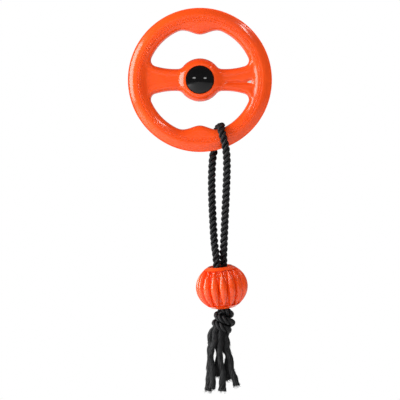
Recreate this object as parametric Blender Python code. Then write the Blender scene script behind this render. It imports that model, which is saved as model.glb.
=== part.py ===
"""Floating ring dog toy, hanging from the inside of its rim's top, where the origin is.

A steering-wheel ring of two rubber skins over a foam core has a horn button and a squeaker in its hub. A
rope is looped over the rim, both legs run down through a ribbed ball to a knot, and six unlaid strands hang
below it. Metres, +Z up, and the front of the toy faces -Y.
"""
import math

import bmesh
import bpy
from mathutils import Matrix, Vector

# Gap kept between two pieces that touch on the real toy
GAP = 0.0003

# Ring, seen from the front
RIM_OUTER_RADIUS = 0.0900
RIM_WIDTH = 0.0235
RIM_DEPTH = 0.0240
GRIP_RISE = 0.0097
GRIP_HALF_ANGLE = math.radians(24.5)
SPOKE_WAIST = 0.0274
SPOKE_WAIST_X = 0.0310
SPOKE_EDGE_RADIUS = 0.0866
SPOKE_DEPTH = 0.0166
SPOKE_ROUNDING = 0.0070
WINDOW_CORNER_RADIUS = 0.0075
HUB_RADIUS = 0.0270
HUB_FILLET = 0.0090
HUB_SHOULDER = 0.0065
FRONT_HUB_HEIGHT = 0.0130
REAR_HUB_HEIGHT = 0.0098
SURFACE_FILLET = 0.0016
PARTING_LAND = 0.0006
SKIN = 0.0030

# Horn button, and the squeaker behind it
BUTTON_RADIUS = 0.0174
DOME_RISE = 0.0075
DOME_EDGE_DROP = 0.0004
FLANGE_OVERHANG = 0.0012
FLANGE_THICKNESS = 0.0015
BUTTON_BOSS_RADIUS = 0.0080
BUTTON_TRAVEL = 0.0030
SQUEAKER_RADIUS = 0.0120
SQUEAKER_THICKNESS = 0.0080
REED_RADIUS = 0.0030
REED_LENGTH = 0.0050
PLUG_RADIUS = 0.0140
PLUG_FLOOR = 0.0040
PLUG_SOCKET_DEPTH = 0.0028
AIR_HOLE_RADIUS = 0.0015

# Rope, laid over the rim's lower right hollow
ROPE_DIAMETER = 0.0090
BIGHT_GAP = 0.0006
LEG_LEAD = 0.0040
ROPE_POINT_SPACING = 0.0190
BIGHT_POINT_SPACING = 0.0055
ROPE_BEVEL_RESOLUTION = 4
SWING_PLACE = math.radians(19.5)

# Route of the bight: degrees round the rim's section from its outside, and along the rim from straight down
BIGHT_ROUTE = ((90, 22.0), (98, 22.2), (114, 22.6), (136, 23.1), (158, 23.6), (180, 23.8), (202, 22.9),
               (224, 21.0), (246, 18.2), (262, 16.3), (270, 15.3))

# Routes of the two legs from the bight to the ball, from the ring's centre
FRONT_LEG_ROUTE = ((0.0320, -0.0172, -0.0844), (0.0334, -0.0164, -0.0960), (0.0336, -0.0150, -0.1140),
                   (0.0330, -0.0130, -0.1330), (0.0322, -0.0104, -0.1523), (0.0313, -0.0078, -0.1710),
                   (0.0305, -0.0050, -0.1905), (0.0298, -0.0022, -0.2080), (0.0293, 0.0000, -0.2205))
REAR_LEG_ROUTE = ((0.0176, 0.0170, -0.0885), (0.0158, 0.0163, -0.1010), (0.0149, 0.0150, -0.1190),
                  (0.0149, 0.0130, -0.1370), (0.0154, 0.0104, -0.1550), (0.0162, 0.0074, -0.1730),
                  (0.0172, 0.0040, -0.1905), (0.0184, 0.0000, -0.2060), (0.0202, -0.0040, -0.2190))

# Ball, an oblate body with lens-shaped lobes, leaning a little to its left and tipped towards the front
BALL_PLACE = Vector((0.0274, 0.0, -0.2583))
BALL_RADIUS = 0.0325
BALL_HALF_BODY = 0.0285
BALL_LEAN = math.radians(5.7)
BALL_TIP = math.radians(7.0)
LOBE_COUNT = 16
FIRST_LOBE_TURN = math.radians(2.6)
LOBE_DEPTH = 0.0040
COLLAR_RADIUS = 0.0185
MOUTH_LIP_RADIUS = 0.0155
MOUTH_LIP_DROP = 0.0008
MOUTH_RADIUS = 0.0138
MOUTH_DEPTH = 0.0042
BORE_RADIUS = 0.0100
BORE_ENTRY = 0.0250

# Knot under the ball
KNOT_PLACE = Vector((0.0294, 0.0029, -0.2988))
KNOT_RADIUS = 0.0130
KNOT_HEIGHT = 0.0326
KNOT_ROUNDING = 0.0055
KNOT_UPPER_RADIUS = 0.0112
KNOT_LOWER_RADIUS = 0.0116
KNOT_TOP_RADIUS = 0.0114
KNOT_FOOT_RADIUS = 0.0108
LEG_END_RISE = 0.0011

# Tassel: each strand's place under the knot in pitches, to the right and to the rear, and its route
STRAND_DIAMETER = 0.0060
STRAND_PITCH = 0.0064
STRAND_LEAD = 0.0025
STRAND_POINT_SPACING = 0.0130
STRAND_BEVEL_RESOLUTION = 2
STRAND_ROUTES = (
    (-1, 0.5, ((0.0155, 0.0056, -0.3260), (0.0126, 0.0055, -0.3370), (0.0118, 0.0055, -0.3520),
               (0.0116, 0.0054, -0.3650), (0.0104, 0.0050, -0.3770), (0.0084, 0.0045, -0.3880))),
    (-1, -0.5, ((0.0186, -0.0006, -0.3260), (0.0172, -0.0012, -0.3350), (0.0150, -0.0018, -0.3465),
                (0.0160, -0.0016, -0.3590), (0.0168, -0.0010, -0.3710), (0.0164, -0.0005, -0.3860))),
    (0, 0.5, ((0.0265, 0.0072, -0.3270), (0.0236, 0.0080, -0.3400), (0.0222, 0.0084, -0.3550),
              (0.0216, 0.0080, -0.3710))),
    (0, -0.5, ((0.0270, -0.0012, -0.3260), (0.0259, -0.0020, -0.3350), (0.0253, -0.0024, -0.3450),
               (0.0262, -0.0024, -0.3570), (0.0260, -0.0020, -0.3690), (0.0274, -0.0016, -0.3875))),
    (1, 0.5, ((0.0348, 0.0066, -0.3270), (0.0338, 0.0070, -0.3380), (0.0342, 0.0072, -0.3500),
              (0.0352, 0.0072, -0.3620), (0.0366, 0.0066, -0.3760))),
    (1, -0.5, ((0.0346, -0.0010, -0.3270), (0.0350, -0.0014, -0.3385), (0.0370, -0.0016, -0.3495),
               (0.0386, -0.0014, -0.3605), (0.0420, -0.0010, -0.3715), (0.0452, -0.0006, -0.3830))),
)

# Rows of the ring's mesh as shares of the way from a window to the crest, and its steps in one quarter
OUTER_ROWS = (0.05, 0.20, 0.48)
OUTER_RIM_ROWS = 4
INNER_ROWS = (0.20,)
INNER_RIM_ROWS = 2
RIM_STEPS = 9
CORNER_HALF_STEPS = 2
SPOKE_STEPS = 2
FILLET_HALF_STEPS = 3
HUB_STEPS = 4

# Steps round turned pieces, round one lobe of the ball, and from the ball's top to its bottom
TURNED_STEPS = 32
REED_STEPS = 16
KNOT_STEPS = 20
DOME_STEPS = 5
LOBE_STEPS = 4
BALL_ROWS = 12

# Steps of a smooth route between two of its points, before it is divided evenly
ROUTE_STEPS = 20

# Edges sharper than this stay sharp
SMOOTH_ANGLE = math.radians(35)

# How close two vertices lie that are one, and how close to the middle plane one lies that is on it
MERGE_DISTANCE = 1e-6
PLANE_TOLERANCE = 1e-7

# Derived sizes of the ring
RIM_HALF_WIDTH = RIM_WIDTH / 2
RIM_CENTRE_RADIUS = RIM_OUTER_RADIUS - RIM_HALF_WIDTH
RIM_INNER_RADIUS = RIM_OUTER_RADIUS - RIM_WIDTH
RING_CENTRE = Vector((0.0, 0.0, -(RIM_INNER_RADIUS - GRIP_RISE)))
BUTTON_OPENING = BUTTON_RADIUS + GAP
PLUG_OPENING = PLUG_RADIUS + GAP
CREST_RADIUS = HUB_RADIUS - HUB_SHOULDER
CREST_BAND = CREST_RADIUS - BUTTON_OPENING
FLANGE_RADIUS = BUTTON_RADIUS + FLANGE_OVERHANG
POCKET_RADIUS = FLANGE_RADIUS + 2 * GAP

# Heights in the hub, towards the front from the ring's middle plane
FLANGE_FRONT = FRONT_HUB_HEIGHT - SKIN - GAP
FLANGE_REAR = FLANGE_FRONT - FLANGE_THICKNESS
PLUG_INNER_FACE = PLUG_FLOOR - REAR_HUB_HEIGHT
SQUEAKER_REAR = PLUG_INNER_FACE + GAP
SQUEAKER_FRONT = SQUEAKER_REAR + SQUEAKER_THICKNESS
BOSS_END = SQUEAKER_FRONT + BUTTON_TRAVEL + GAP

# Places and directions on the rope
BALL_CENTRE = RING_CENTRE + BALL_PLACE
BALL_TURN = Matrix.Rotation(-BALL_LEAN, 3, 'Y') @ Matrix.Rotation(BALL_TIP, 3, 'X')
UP_THE_BALL = BALL_TURN @ Vector((0, 0, 1))
SIDE_BY_SIDE = BALL_TURN @ Vector((1, 1, 0)).normalized()
KNOT_CENTRE = RING_CENTRE + KNOT_PLACE
SWING_PIVOT = RING_CENTRE + Vector((math.sin(SWING_PLACE), 0, -math.cos(SWING_PLACE))) * RIM_CENTRE_RADIUS


def direction(angle):
    """Unit vector in the ring's plane, the angle measured from +X towards +Z."""
    return Vector((math.cos(angle), math.sin(angle)))


def lerp(low, high, share):
    return low + (high - low) * share


def circles_meet(first, first_radius, second, second_radius, side):
    """Point where two circles cross, left (side 1) or right (side -1) of the line from first to second."""
    across = second - first
    distance = across.length
    along = (distance ** 2 + first_radius ** 2 - second_radius ** 2) / (2 * distance)
    offset = math.sqrt(first_radius ** 2 - along ** 2)
    unit = across / distance
    return first + unit * along + Vector((-unit.y, unit.x)) * offset * side


def angle_of(vector):
    return math.atan2(vector.y, vector.x)


def rim_inner_radius(angle):
    """Radius of the rim's inner contour, with the finger grip rising at the top and bottom."""
    from_vertical = abs(math.pi / 2 - abs(angle))
    if from_vertical >= GRIP_HALF_ANGLE:
        return RIM_INNER_RADIUS
    return RIM_INNER_RADIUS - GRIP_RISE * math.cos(math.pi / 2 * from_vertical / GRIP_HALF_ANGLE) ** 2


def window_stations(opening):
    """Pairs of a point on a window's outline and the point on the wheel's middle line that it faces.

    They run through one quarter: down the rim from its top, round the window's corner, in along the spoke,
    round the hub's fillet and up the hub. The middle line is the rim's crest, the spoke's middle, then the
    hub's opening.
    """
    centre = Vector((0.0, 0.0))
    edge = Vector((SPOKE_WAIST_X, SPOKE_WAIST / 2 + SPOKE_EDGE_RADIUS))
    corner = circles_meet(centre, RIM_INNER_RADIUS - WINDOW_CORNER_RADIUS,
                          edge, SPOKE_EDGE_RADIUS - WINDOW_CORNER_RADIUS, -1)
    fillet = circles_meet(centre, HUB_RADIUS + HUB_FILLET, edge, SPOKE_EDGE_RADIUS - HUB_FILLET, -1)
    corner_angle = angle_of(corner)
    edge_start = angle_of(corner - edge)
    edge_end = angle_of(fillet - edge)
    fillet_end = angle_of(-fillet)
    hub_start = angle_of(fillet)
    stations = []
    for step in range(RIM_STEPS + 1):
        angle = lerp(math.pi / 2, corner_angle, step / RIM_STEPS)
        unit = direction(angle)
        stations.append((unit * rim_inner_radius(angle), unit * RIM_CENTRE_RADIUS))
    spoke_end = corner + direction(edge_start) * WINDOW_CORNER_RADIUS
    for step in range(1, 2 * CORNER_HALF_STEPS + 1):
        share = step / (2 * CORNER_HALF_STEPS)
        point = corner + direction(lerp(corner_angle, edge_start, share)) * WINDOW_CORNER_RADIUS
        if share <= 0.5:
            middle = direction(lerp(corner_angle, 0.0, 2 * share)) * RIM_CENTRE_RADIUS
        else:
            middle = Vector((lerp(RIM_CENTRE_RADIUS, spoke_end.x, 2 * share - 1), 0.0))
        stations.append((point, middle))
    for step in range(1, SPOKE_STEPS + 1):
        point = edge + direction(lerp(edge_start, edge_end, step / SPOKE_STEPS)) * SPOKE_EDGE_RADIUS
        stations.append((point, Vector((point.x, 0.0))))
    fillet_x = stations[-1][0].x
    inner_ends = [lerp(fillet_x, CREST_RADIUS, (step + 1) / (FILLET_HALF_STEPS - 1))
                  for step in range(FILLET_HALF_STEPS - 1)] + [opening]
    for step in range(1, 2 * FILLET_HALF_STEPS + 1):
        share = step / (2 * FILLET_HALF_STEPS)
        turn = lerp(edge_end, fillet_end, share)
        point = fillet + direction(turn) * HUB_FILLET
        if share <= 0.5:
            middle = Vector((inner_ends[step - 1], 0.0))
        else:
            middle = direction(lerp(0.0, hub_start, 2 * share - 1)) * opening
        stations.append((point, middle))
    for step in range(1, HUB_STEPS + 1):
        unit = direction(lerp(hub_start, math.pi / 2, step / HUB_STEPS))
        stations.append((unit * HUB_RADIUS, unit * opening))
    return stations


def quarter_round(share):
    """Height of a quarter circle over its own width."""
    return math.sqrt(max(0.0, 1 - (1 - min(max(share, 0.0), 1.0)) ** 2))


def smooth_max(first, second, blend):
    """The larger of two heights, with a fillet where they are alike."""
    share = max(blend - abs(first - second), 0.0) / blend
    return max(first, second) + share * share * blend / 4


def surface_height(point, edge_distance, hub_height):
    """Height of the ring's face over the middle plane at a point of the plane."""
    radius = point.length
    angle = abs(angle_of(point))
    if radius < RIM_CENTRE_RADIUS:
        width = RIM_CENTRE_RADIUS - rim_inner_radius(angle)
    else:
        width = RIM_HALF_WIDTH
    rim = RIM_DEPTH / 2 * quarter_round(1 - abs(radius - RIM_CENTRE_RADIUS) / width)
    spoke = SPOKE_DEPTH / 2 * quarter_round(edge_distance / SPOKE_ROUNDING)
    hub = hub_height * quarter_round((HUB_RADIUS - radius) / HUB_SHOULDER)
    height = smooth_max(smooth_max(rim, spoke, SURFACE_FILLET), hub, SURFACE_FILLET)
    return max(height, PARTING_LAND)


def ring_sheet(row_shares, rim_rows, opening, hub_height):
    """Open mesh of the ring's front face, from the middle plane over its crests, mirrored from a quarter."""
    stations = window_stations(opening)
    mesh = bmesh.new()

    def vertex(point, height):
        return mesh.verts.new((point.x, -height, point.y))

    columns = []
    for outline, middle in stations:
        across = middle - outline
        shares = list(row_shares) + [1 - CREST_BAND / across.length, 1.0]
        column = [vertex(outline, 0.0), vertex(outline, PARTING_LAND)]
        for share in shares:
            point = outline + across * share
            column.append(vertex(point, surface_height(point, across.length * share, hub_height)))
        columns.append(column)
    for left, right in zip(columns, columns[1:]):
        for row in range(len(left) - 1):
            mesh.faces.new((left[row], left[row + 1], right[row + 1], right[row]))
    rim_columns = []
    for index in range(RIM_STEPS + CORNER_HALF_STEPS + 1):
        unit = stations[index][1].normalized()
        column = [columns[index][-1]]
        for row in range(1, rim_rows):
            turn = math.pi / 2 * row / rim_rows
            radius = RIM_CENTRE_RADIUS + RIM_HALF_WIDTH * math.sin(turn)
            column.append(vertex(unit * radius, RIM_DEPTH / 2 * math.cos(turn)))
        column += [vertex(unit * RIM_OUTER_RADIUS, height) for height in (PARTING_LAND, 0.0)]
        rim_columns.append(column)
    for left, right in zip(rim_columns, rim_columns[1:]):
        for row in range(len(left) - 1):
            mesh.faces.new((left[row], left[row + 1], right[row + 1], right[row]))
    for axis in ('X', 'Z'):
        whole = mesh.verts[:] + mesh.edges[:] + mesh.faces[:]
        bmesh.ops.mirror(mesh, geom=whole, merge_dist=MERGE_DISTANCE, axis=axis)
    bmesh.ops.recalc_face_normals(mesh, faces=mesh.faces)
    if sum(face.normal.y * face.calc_area() for face in mesh.faces) > 0:
        bmesh.ops.reverse_faces(mesh, faces=mesh.faces)
    mesh.normal_update()
    return mesh


def plan_place(vert):
    """Where a vertex lies in the ring's plane, as a key that two sheets share."""
    return round(vert.co.x, 6), round(vert.co.z, 6)


def sunk_sheet(depth, opening, hub_height):
    """Plainer sheet a depth inside the ring's face, whose upright land at the middle plane keeps its heights.

    Its quads are cut the same way at every depth, so two such sheets never touch.
    """
    mesh = ring_sheet(INNER_ROWS, INNER_RIM_ROWS, opening, hub_height)
    bmesh.ops.triangulate(mesh, faces=mesh.faces, quad_method='FIXED')
    mesh.normal_update()
    plan = {vert: plan_place(vert) for vert in mesh.verts}
    places = {}
    for vert in mesh.verts:
        normal = vert.normal.copy()
        if abs(vert.co.y) < PARTING_LAND + PLANE_TOLERANCE:
            normal.y = 0.0
            normal.normalize()
        places[vert] = vert.co - normal * depth
    for vert, place in places.items():
        vert.co = place
    edge = {plan[vert]: vert for vert in mesh.verts if vert.is_boundary}
    return mesh, edge


def open_edges(sheet):
    """The sheet's open edges as pairs of vertices, each in the direction in which its face runs."""
    pairs = []
    for edge in sheet.edges:
        if edge.is_boundary:
            loop = edge.link_loops[0]
            pairs.append((loop.vert, loop.link_loop_next.vert))
    return pairs


def add_sheet(target, sheet, flip):
    """Copies a sheet into a mesh, inside out if asked, and returns the copy of each vertex."""
    copies = {vert: target.verts.new(vert.co) for vert in sheet.verts}
    for face in sheet.faces:
        corners = [copies[vert] for vert in face.verts]
        target.faces.new(corners[::-1] if flip else corners)
    return copies


def skin_mesh(opening, hub_height):
    """Closed mesh of the front half's skin: a fine outer face, a plainer inner one, and the edges between."""
    outer = ring_sheet(OUTER_ROWS, OUTER_RIM_ROWS, opening, hub_height)
    inner, inner_edge = sunk_sheet(SKIN, opening, hub_height)
    skin = bmesh.new()
    outer_copies = add_sheet(skin, outer, False)
    inner_copies = add_sheet(skin, inner, True)
    for start, end in open_edges(outer):
        inner_start = inner_copies[inner_edge[plan_place(start)]]
        inner_end = inner_copies[inner_edge[plan_place(end)]]
        skin.faces.new((outer_copies[end], outer_copies[start], inner_start, inner_end))
    outer.free()
    inner.free()
    return skin


def core_mesh():
    """Closed mesh of the foam that fills both skins, still without the hub's pocket."""
    core = bmesh.new()
    halves = ((-1, BUTTON_OPENING, FRONT_HUB_HEIGHT), (1, PLUG_OPENING, REAR_HUB_HEIGHT))
    for side, opening, hub_height in halves:
        sheet = sunk_sheet(SKIN + GAP, opening, hub_height)[0]
        if side > 0:
            bmesh.ops.scale(sheet, vec=(1, -1, 1), verts=sheet.verts)
        add_sheet(core, sheet, side > 0)
        sheet.free()
    bmesh.ops.remove_doubles(core, verts=core.verts, dist=MERGE_DISTANCE)
    bmesh.ops.bridge_loops(core, edges=[edge for edge in core.edges if edge.is_boundary])
    return core


def turned_mesh(profile, steps):
    """Closed mesh turned about Z from (radius, height) pairs, down the outer side from top to bottom.

    A profile that starts and ends on the axis is capped there, and any other is a closed loop round a bore.
    """
    mesh = bmesh.new()
    rings = []
    for radius, height in profile:
        if radius == 0:
            rings.append([mesh.verts.new((0, 0, height))])
        else:
            turns = [2 * math.pi * step / steps for step in range(steps)]
            rings.append([mesh.verts.new((radius * math.cos(t), radius * math.sin(t), height))
                          for t in turns])
    join_rings(mesh, rings, profile[0][0] != 0)
    return mesh


def join_rings(mesh, rings, closed):
    """Faces between neighbouring rings, where a ring of one vertex is a pole."""
    following = rings[1:] + (rings[:1] if closed else [])
    for upper, lower in zip(rings, following):
        count = max(len(upper), len(lower))
        for step in range(count):
            after = (step + 1) % count
            if len(upper) == 1:
                mesh.faces.new((upper[0], lower[step], lower[after]))
            elif len(lower) == 1:
                mesh.faces.new((upper[step], lower[0], upper[after]))
            else:
                mesh.faces.new((upper[step], lower[step], lower[after], upper[after]))


def new_object(name, mesh, material, pivot):
    """Object from a mesh in the toy's frame, with its origin moved to a pivot."""
    data = bpy.data.meshes.new(name)
    bmesh.ops.recalc_face_normals(mesh, faces=mesh.faces)
    mesh.to_mesh(data)
    mesh.free()
    data.transform(Matrix.Translation(-pivot))
    data.shade_smooth()
    data.set_sharp_from_angle(angle=SMOOTH_ANGLE)
    data.materials.append(material)
    item = bpy.data.objects.new(name, data)
    item.location = pivot
    bpy.context.scene.collection.objects.link(item)
    return item


def smooth_route(points, spacing):
    """Points at even steps on a smooth curve through a route, whose two ends stay straight."""
    fine = []
    for index in range(1, len(points) - 2):
        before, start, end, after = points[index - 1:index + 3]
        for step in range(ROUTE_STEPS):
            t = step / ROUTE_STEPS
            fine.append(0.5 * (2 * start + (end - before) * t
                               + (2 * before - 5 * start + 4 * end - after) * t * t
                               + (3 * start - before - 3 * end + after) * t ** 3))
    fine.append(points[-2])
    lengths = [0.0]
    for first, second in zip(fine, fine[1:]):
        lengths.append(lengths[-1] + (second - first).length)
    count = max(1, round(lengths[-1] / spacing))
    even = []
    index = 0
    for step in range(count + 1):
        wanted = lengths[-1] * step / count
        while index < len(fine) - 2 and lengths[index + 1] < wanted:
            index += 1
        span = lengths[index + 1] - lengths[index]
        even.append(fine[index].lerp(fine[index + 1], (wanted - lengths[index]) / span))
    return [points[0]] + even + [points[-1]]


def new_tube(name, points, diameter, resolution, material, pivot):
    """Round tube with closed ends along a row of points."""
    curve = bpy.data.curves.new(name, 'CURVE')
    curve.dimensions = '3D'
    curve.bevel_depth = diameter / 2
    curve.bevel_resolution = resolution
    curve.use_fill_caps = True
    spline = curve.splines.new('POLY')
    spline.points.add(len(points) - 1)
    for spot, point in zip(spline.points, points):
        spot.co = (*(point - pivot), 1.0)
    curve.materials.append(material)
    item = bpy.data.objects.new(name, curve)
    item.location = pivot
    bpy.context.scene.collection.objects.link(item)
    return item


def build_ring(materials):
    """Both skins, their edges half a gap either side of the middle plane, and the foam core inside them."""
    front = skin_mesh(BUTTON_OPENING, FRONT_HUB_HEIGHT)
    bmesh.ops.translate(front, vec=(0, -GAP / 2, 0), verts=front.verts)
    rear = skin_mesh(PLUG_OPENING, REAR_HUB_HEIGHT)
    bmesh.ops.scale(rear, vec=(1, -1, 1), verts=rear.verts)
    bmesh.ops.reverse_faces(rear, faces=rear.faces)
    bmesh.ops.translate(rear, vec=(0, GAP / 2, 0), verts=rear.verts)
    for name, mesh in (('ring_front_skin', front), ('ring_rear_skin', rear)):
        bmesh.ops.translate(mesh, vec=RING_CENTRE, verts=mesh.verts)
        new_object(name, mesh, materials['orange'], RING_CENTRE)
    core = core_mesh()
    bmesh.ops.translate(core, vec=RING_CENTRE, verts=core.verts)
    core_object = new_object('foam_core', core, materials['foam'], RING_CENTRE)
    pocket = turned_mesh(((0, RIM_DEPTH), (POCKET_RADIUS, RIM_DEPTH),
                          (POCKET_RADIUS, -RIM_DEPTH), (0, -RIM_DEPTH)), TURNED_STEPS)
    face_front(pocket)
    cutter = new_object('hub_pocket_cutter', pocket, materials['foam'], RING_CENTRE)
    cutter.hide_render = True
    cutter.display_type = 'WIRE'
    cut = core_object.modifiers.new('hub_pocket', 'BOOLEAN')
    cut.object = cutter
    cut.operation = 'DIFFERENCE'


def face_front(mesh):
    """Turns a mesh made about Z so that its top faces the front, and moves it to the hub."""
    bmesh.ops.transform(mesh, matrix=Matrix.Rotation(math.pi / 2, 4, 'X'), verts=mesh.verts)
    bmesh.ops.translate(mesh, vec=RING_CENTRE, verts=mesh.verts)


def build_hub(materials):
    """Horn button with its flange behind the skin, the squeaker with its reed, and the plug behind it."""
    dome_edge = FRONT_HUB_HEIGHT - DOME_EDGE_DROP
    bend = (BUTTON_RADIUS ** 2 + DOME_RISE ** 2) / (2 * DOME_RISE)
    spread = math.asin(BUTTON_RADIUS / bend)
    turns = [spread * step / DOME_STEPS for step in range(DOME_STEPS + 1)]
    dome = [(bend * math.sin(turn), dome_edge + DOME_RISE - bend * (1 - math.cos(turn))) for turn in turns]
    button = turned_mesh(dome + [(BUTTON_RADIUS, FLANGE_FRONT), (FLANGE_RADIUS, FLANGE_FRONT),
                                 (FLANGE_RADIUS, FLANGE_REAR), (BUTTON_BOSS_RADIUS, FLANGE_REAR),
                                 (BUTTON_BOSS_RADIUS, BOSS_END), (0, BOSS_END)], TURNED_STEPS)
    reed_bore = REED_RADIUS + GAP
    reed_front = SQUEAKER_REAR + REED_LENGTH
    squeaker = turned_mesh([(0, SQUEAKER_FRONT), (SQUEAKER_RADIUS, SQUEAKER_FRONT),
                            (SQUEAKER_RADIUS, SQUEAKER_REAR), (reed_bore, SQUEAKER_REAR),
                            (reed_bore, reed_front + GAP), (0, reed_front + GAP)], TURNED_STEPS)
    reed = turned_mesh([(0, reed_front), (REED_RADIUS, reed_front), (REED_RADIUS, SQUEAKER_REAR),
                        (0, SQUEAKER_REAR)], REED_STEPS)
    socket = SQUEAKER_RADIUS + GAP
    plug_top = PLUG_INNER_FACE + PLUG_SOCKET_DEPTH
    plug = turned_mesh([(socket, plug_top), (PLUG_RADIUS, plug_top), (PLUG_RADIUS, -REAR_HUB_HEIGHT),
                        (AIR_HOLE_RADIUS, -REAR_HUB_HEIGHT), (AIR_HOLE_RADIUS, PLUG_INNER_FACE),
                        (socket, PLUG_INNER_FACE)], TURNED_STEPS)
    for name, mesh, material in (('horn_button', button, 'black'), ('squeaker_body', squeaker, 'clear'),
                                 ('squeaker_reed', reed, 'clear'), ('rear_plug', plug, 'orange')):
        face_front(mesh)
        new_object(name, mesh, materials[material], RING_CENTRE)


def bight_point(turn, place):
    """Middle of the rope on the rim: turn goes round the rim's section, place along the rim, in degrees."""
    reach = ROPE_DIAMETER / 2 + BIGHT_GAP
    angle = math.radians(place)
    out = math.cos(math.radians(turn))
    half_width = RIM_HALF_WIDTH if out > 0 else RIM_CENTRE_RADIUS - rim_inner_radius(math.pi / 2 - angle)
    radius = RIM_CENTRE_RADIUS + (half_width + reach) * out
    depth = (RIM_DEPTH / 2 + reach) * math.sin(math.radians(turn))
    return RING_CENTRE + Vector((radius * math.sin(angle), -depth, -radius * math.cos(angle)))


def bore_point(side, height):
    """Middle of a rope leg inside the ball, at a height along the ball's axis."""
    return BALL_CENTRE + UP_THE_BALL * height + SIDE_BY_SIDE * side * (ROPE_DIAMETER + GAP) / 2


def build_rope(materials):
    """The rope in three stretches: the bight on the rim, and two legs through the ball to the knot."""
    bight = [bight_point(turn, place) for turn, place in BIGHT_ROUTE]
    front_way = (bight[0] - bight[1]).normalized()
    rear_way = (bight[-1] - bight[-2]).normalized()
    new_tube('rope_bight', smooth_route(bight, BIGHT_POINT_SPACING), ROPE_DIAMETER, ROPE_BEVEL_RESOLUTION,
             materials['rope'], RING_CENTRE)
    for name, start, way, route, side in (('rope_leg_front', bight[0], front_way, FRONT_LEG_ROUTE, 1),
                                          ('rope_leg_rear', bight[-1], rear_way, REAR_LEG_ROUTE, -1)):
        points = [start + way * GAP, start + way * (GAP + LEG_LEAD)]
        points += [RING_CENTRE + Vector(point) for point in route]
        end = (KNOT_CENTRE.z + KNOT_HEIGHT / 2 + LEG_END_RISE - bore_point(side, 0).z) / UP_THE_BALL.z
        points += [bore_point(side, height) for height in (BORE_ENTRY, 0.0, end + LEG_LEAD, end)]
        new_tube(name, smooth_route(points, ROPE_POINT_SPACING), ROPE_DIAMETER, ROPE_BEVEL_RESOLUTION,
                 materials['rope'], SWING_PIVOT)


def lobe_share(height):
    """How far the lobes stand out at a height of the ball: all at its middle, none at its collars."""
    reach = BALL_HALF_BODY * math.sqrt(1 - (COLLAR_RADIUS / BALL_RADIUS) ** 2)
    return math.sqrt(max(0.0, 1 - (height / reach) ** 2))


def build_ball(materials):
    """Ribbed ball with a dished mouth at each end of its bore, made about Z and then leaned."""
    mouth_turn = math.acos(MOUTH_LIP_RADIUS / BALL_RADIUS)
    mesh = bmesh.new()
    rings = []
    steps = LOBE_COUNT * LOBE_STEPS

    def ring(radii, height):
        turns = [2 * math.pi * step / steps - math.pi / 2 + FIRST_LOBE_TURN for step in range(steps)]
        rings.append([mesh.verts.new((radius * math.cos(t), radius * math.sin(t), height))
                      for radius, t in zip(radii, turns)])

    for row in range(BALL_ROWS + 1):
        turn = lerp(mouth_turn, -mouth_turn, row / BALL_ROWS)
        height = BALL_HALF_BODY * math.sin(turn)
        radius = BALL_RADIUS * math.cos(turn)
        depth = LOBE_DEPTH * lobe_share(height)
        valley = [depth * (1 - math.cos(2 * math.pi * step / LOBE_STEPS)) / 2 for step in range(steps)]
        ring([radius - cut for cut in valley], height)
    lip_height = BALL_HALF_BODY * math.sin(mouth_turn)
    for side in (-1, 1):
        inside = [(MOUTH_RADIUS, lip_height - MOUTH_LIP_DROP), (BORE_RADIUS, lip_height - MOUTH_DEPTH)]
        for radius, height in (inside if side < 0 else inside[::-1]):
            ring([radius] * steps, height * side)
    join_rings(mesh, rings, True)
    bmesh.ops.transform(mesh, matrix=BALL_TURN.to_4x4(), verts=mesh.verts)
    bmesh.ops.translate(mesh, vec=BALL_CENTRE, verts=mesh.verts)
    new_object('ball', mesh, materials['orange'], BALL_CENTRE)


def build_knot(materials):
    """Plain barrel in the place of the doubled knot, flat where the legs and the strands meet it."""
    half = KNOT_HEIGHT / 2
    profile = [(0, half), (KNOT_TOP_RADIUS, half), (KNOT_UPPER_RADIUS, half - KNOT_ROUNDING), (KNOT_RADIUS, 0),
               (KNOT_LOWER_RADIUS, KNOT_ROUNDING - half), (KNOT_FOOT_RADIUS, -half), (0, -half)]
    mesh = turned_mesh(profile, KNOT_STEPS)
    bmesh.ops.translate(mesh, vec=KNOT_CENTRE, verts=mesh.verts)
    new_object('knot', mesh, materials['rope'], SWING_PIVOT)


def build_tassel(materials):
    """Six strands of the unlaid rope ends, each starting just below the knot's foot."""
    foot = KNOT_CENTRE - Vector((0, 0, KNOT_HEIGHT / 2))
    for index, (column, row, route) in enumerate(STRAND_ROUTES):
        root = foot + Vector((column, row, 0)) * STRAND_PITCH
        points = [root - Vector((0, 0, GAP)), root - Vector((0, 0, GAP + STRAND_LEAD))]
        points += [RING_CENTRE + Vector(point) for point in route]
        new_tube(f'tassel_strand_{index + 1}', smooth_route(points, STRAND_POINT_SPACING), STRAND_DIAMETER,
                 STRAND_BEVEL_RESOLUTION, materials['rope'], foot)


def new_material(name, colour, roughness):
    material = bpy.data.materials.new(name)
    material.use_nodes = True
    shader = material.node_tree.nodes['Principled BSDF']
    shader.inputs['Base Color'].default_value = (*colour, 1.0)
    shader.inputs['Roughness'].default_value = roughness
    shader.inputs['Metallic'].default_value = 0.0
    return material


def main():
    for item in list(bpy.data.objects):
        bpy.data.objects.remove(item)
    materials = {
        'orange': new_material('orange_rubber', (0.95, 0.100, 0.016), 0.22),
        'black': new_material('black_dome', (0.006, 0.006, 0.007), 0.12),
        'foam': new_material('closed_cell_foam', (0.70, 0.66, 0.58), 0.90),
        'clear': new_material('squeaker_plastic', (0.78, 0.80, 0.80), 0.35),
        'rope': new_material('charcoal_rope', (0.012, 0.013, 0.016), 0.85),
    }
    build_ring(materials)
    build_hub(materials)
    build_rope(materials)
    build_ball(materials)
    build_knot(materials)
    build_tassel(materials)


main()
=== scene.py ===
import math

import bpy
import numpy as np
from mathutils import Matrix, Quaternion, Vector


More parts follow.
